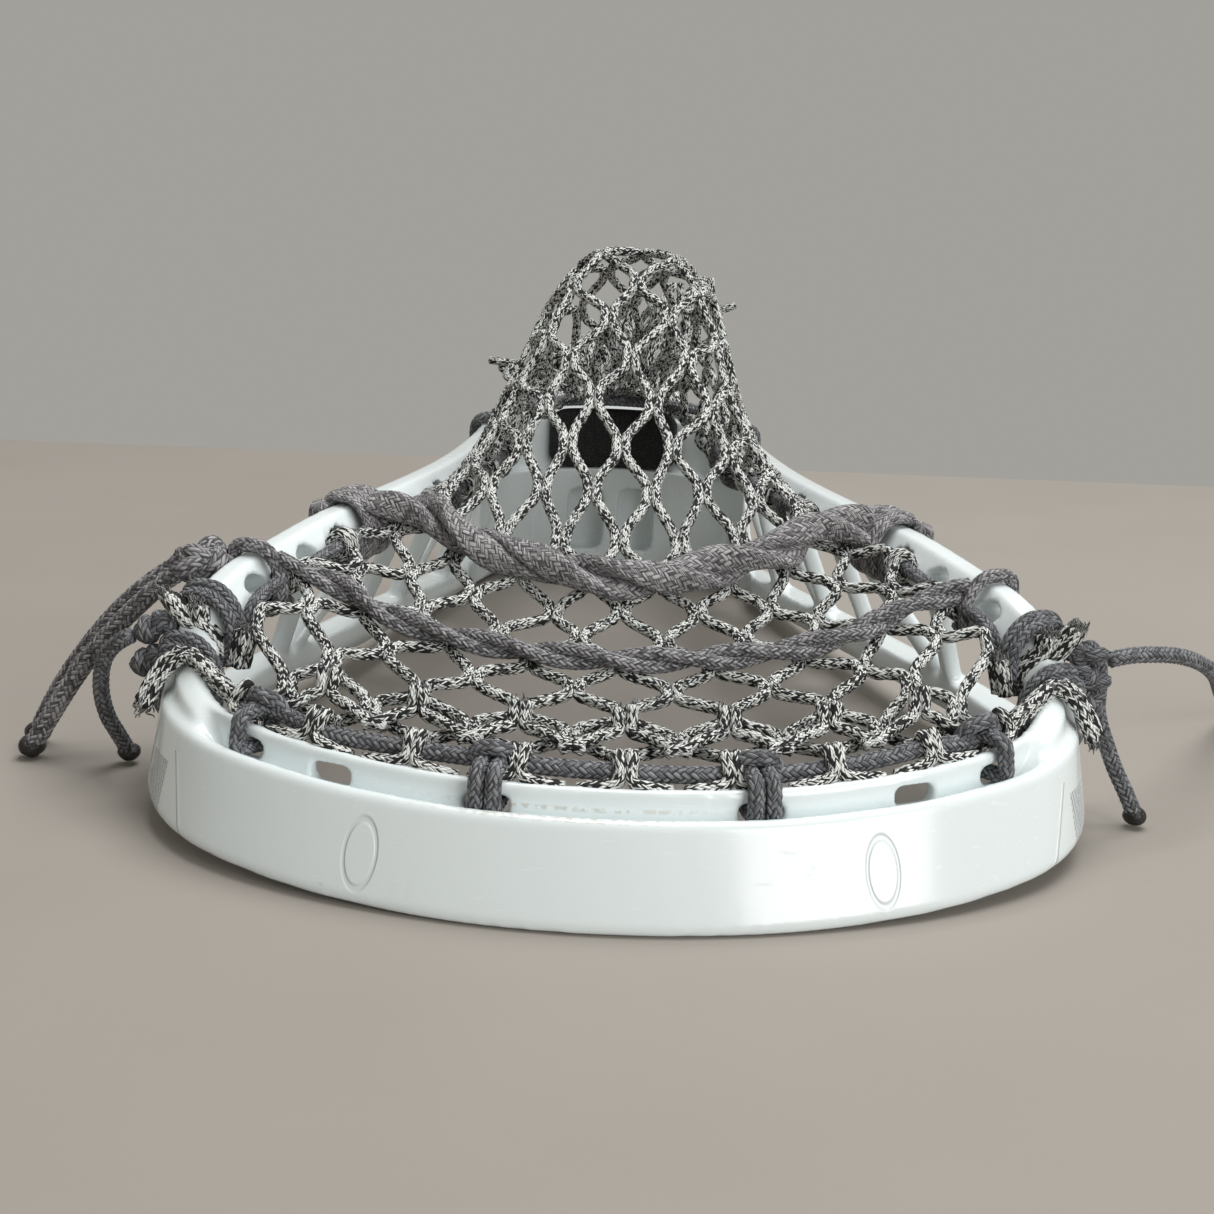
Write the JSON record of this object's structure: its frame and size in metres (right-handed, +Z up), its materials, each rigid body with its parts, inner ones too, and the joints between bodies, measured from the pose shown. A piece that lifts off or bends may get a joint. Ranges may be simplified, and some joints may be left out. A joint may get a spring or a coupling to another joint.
{
  "type": "strung lacrosse head",
  "caption": "Strung field lacrosse head lying face down: scoop, slotted sidewalls, throat and open shaft socket, with a deep net pocket, laced strings and loose cord tails.",
  "frame": {"origin": "centre of the head's footprint, at the level of the surface it lies on face down", "axes": "+X across the head, +Y from the scoop towards the shaft socket, +Z up through the back of the pocket"},
  "size_m": [0.2706, 0.325, 0.0945],
  "materials": {
    "moulded_plastic": "glossy cool white moulded nylon with faint scuffs",
    "foam": "matt black closed-cell foam",
    "net_cord": "braided black and white flecked net cord",
    "nylon_cord": "dark grey round braided nylon cord",
    "shooting_lace": "soft grey flat braided lace, slightly fuzzy"
  },
  "bodies": {
    "root": {"head_frame": "moulded_plastic", "ball_stop_pad": "foam", "pocket_net": "net_cord", "net_tail": "net_cord", "top_string": "nylon_cord", "throat_string": "nylon_cord", "shooting_lace": "shooting_lace", "shooting_string": "shooting_lace", "sidewall_string_left": "nylon_cord", "sidewall_string_right": "nylon_cord", "sidewall_knot_left": "nylon_cord", "sidewall_knot_right": "nylon_cord", "top_string_knot_left": "nylon_cord", "top_string_knot_right": "nylon_cord", "net_end_left": "net_cord", "net_end_right": "net_cord", "tail_left_front": "shooting_lace", "tail_left_back": "shooting_lace", "tail_left_short": "nylon_cord", "tail_right_long": "nylon_cord", "tail_right_short": "nylon_cord"}
  },
  "joints": []
}
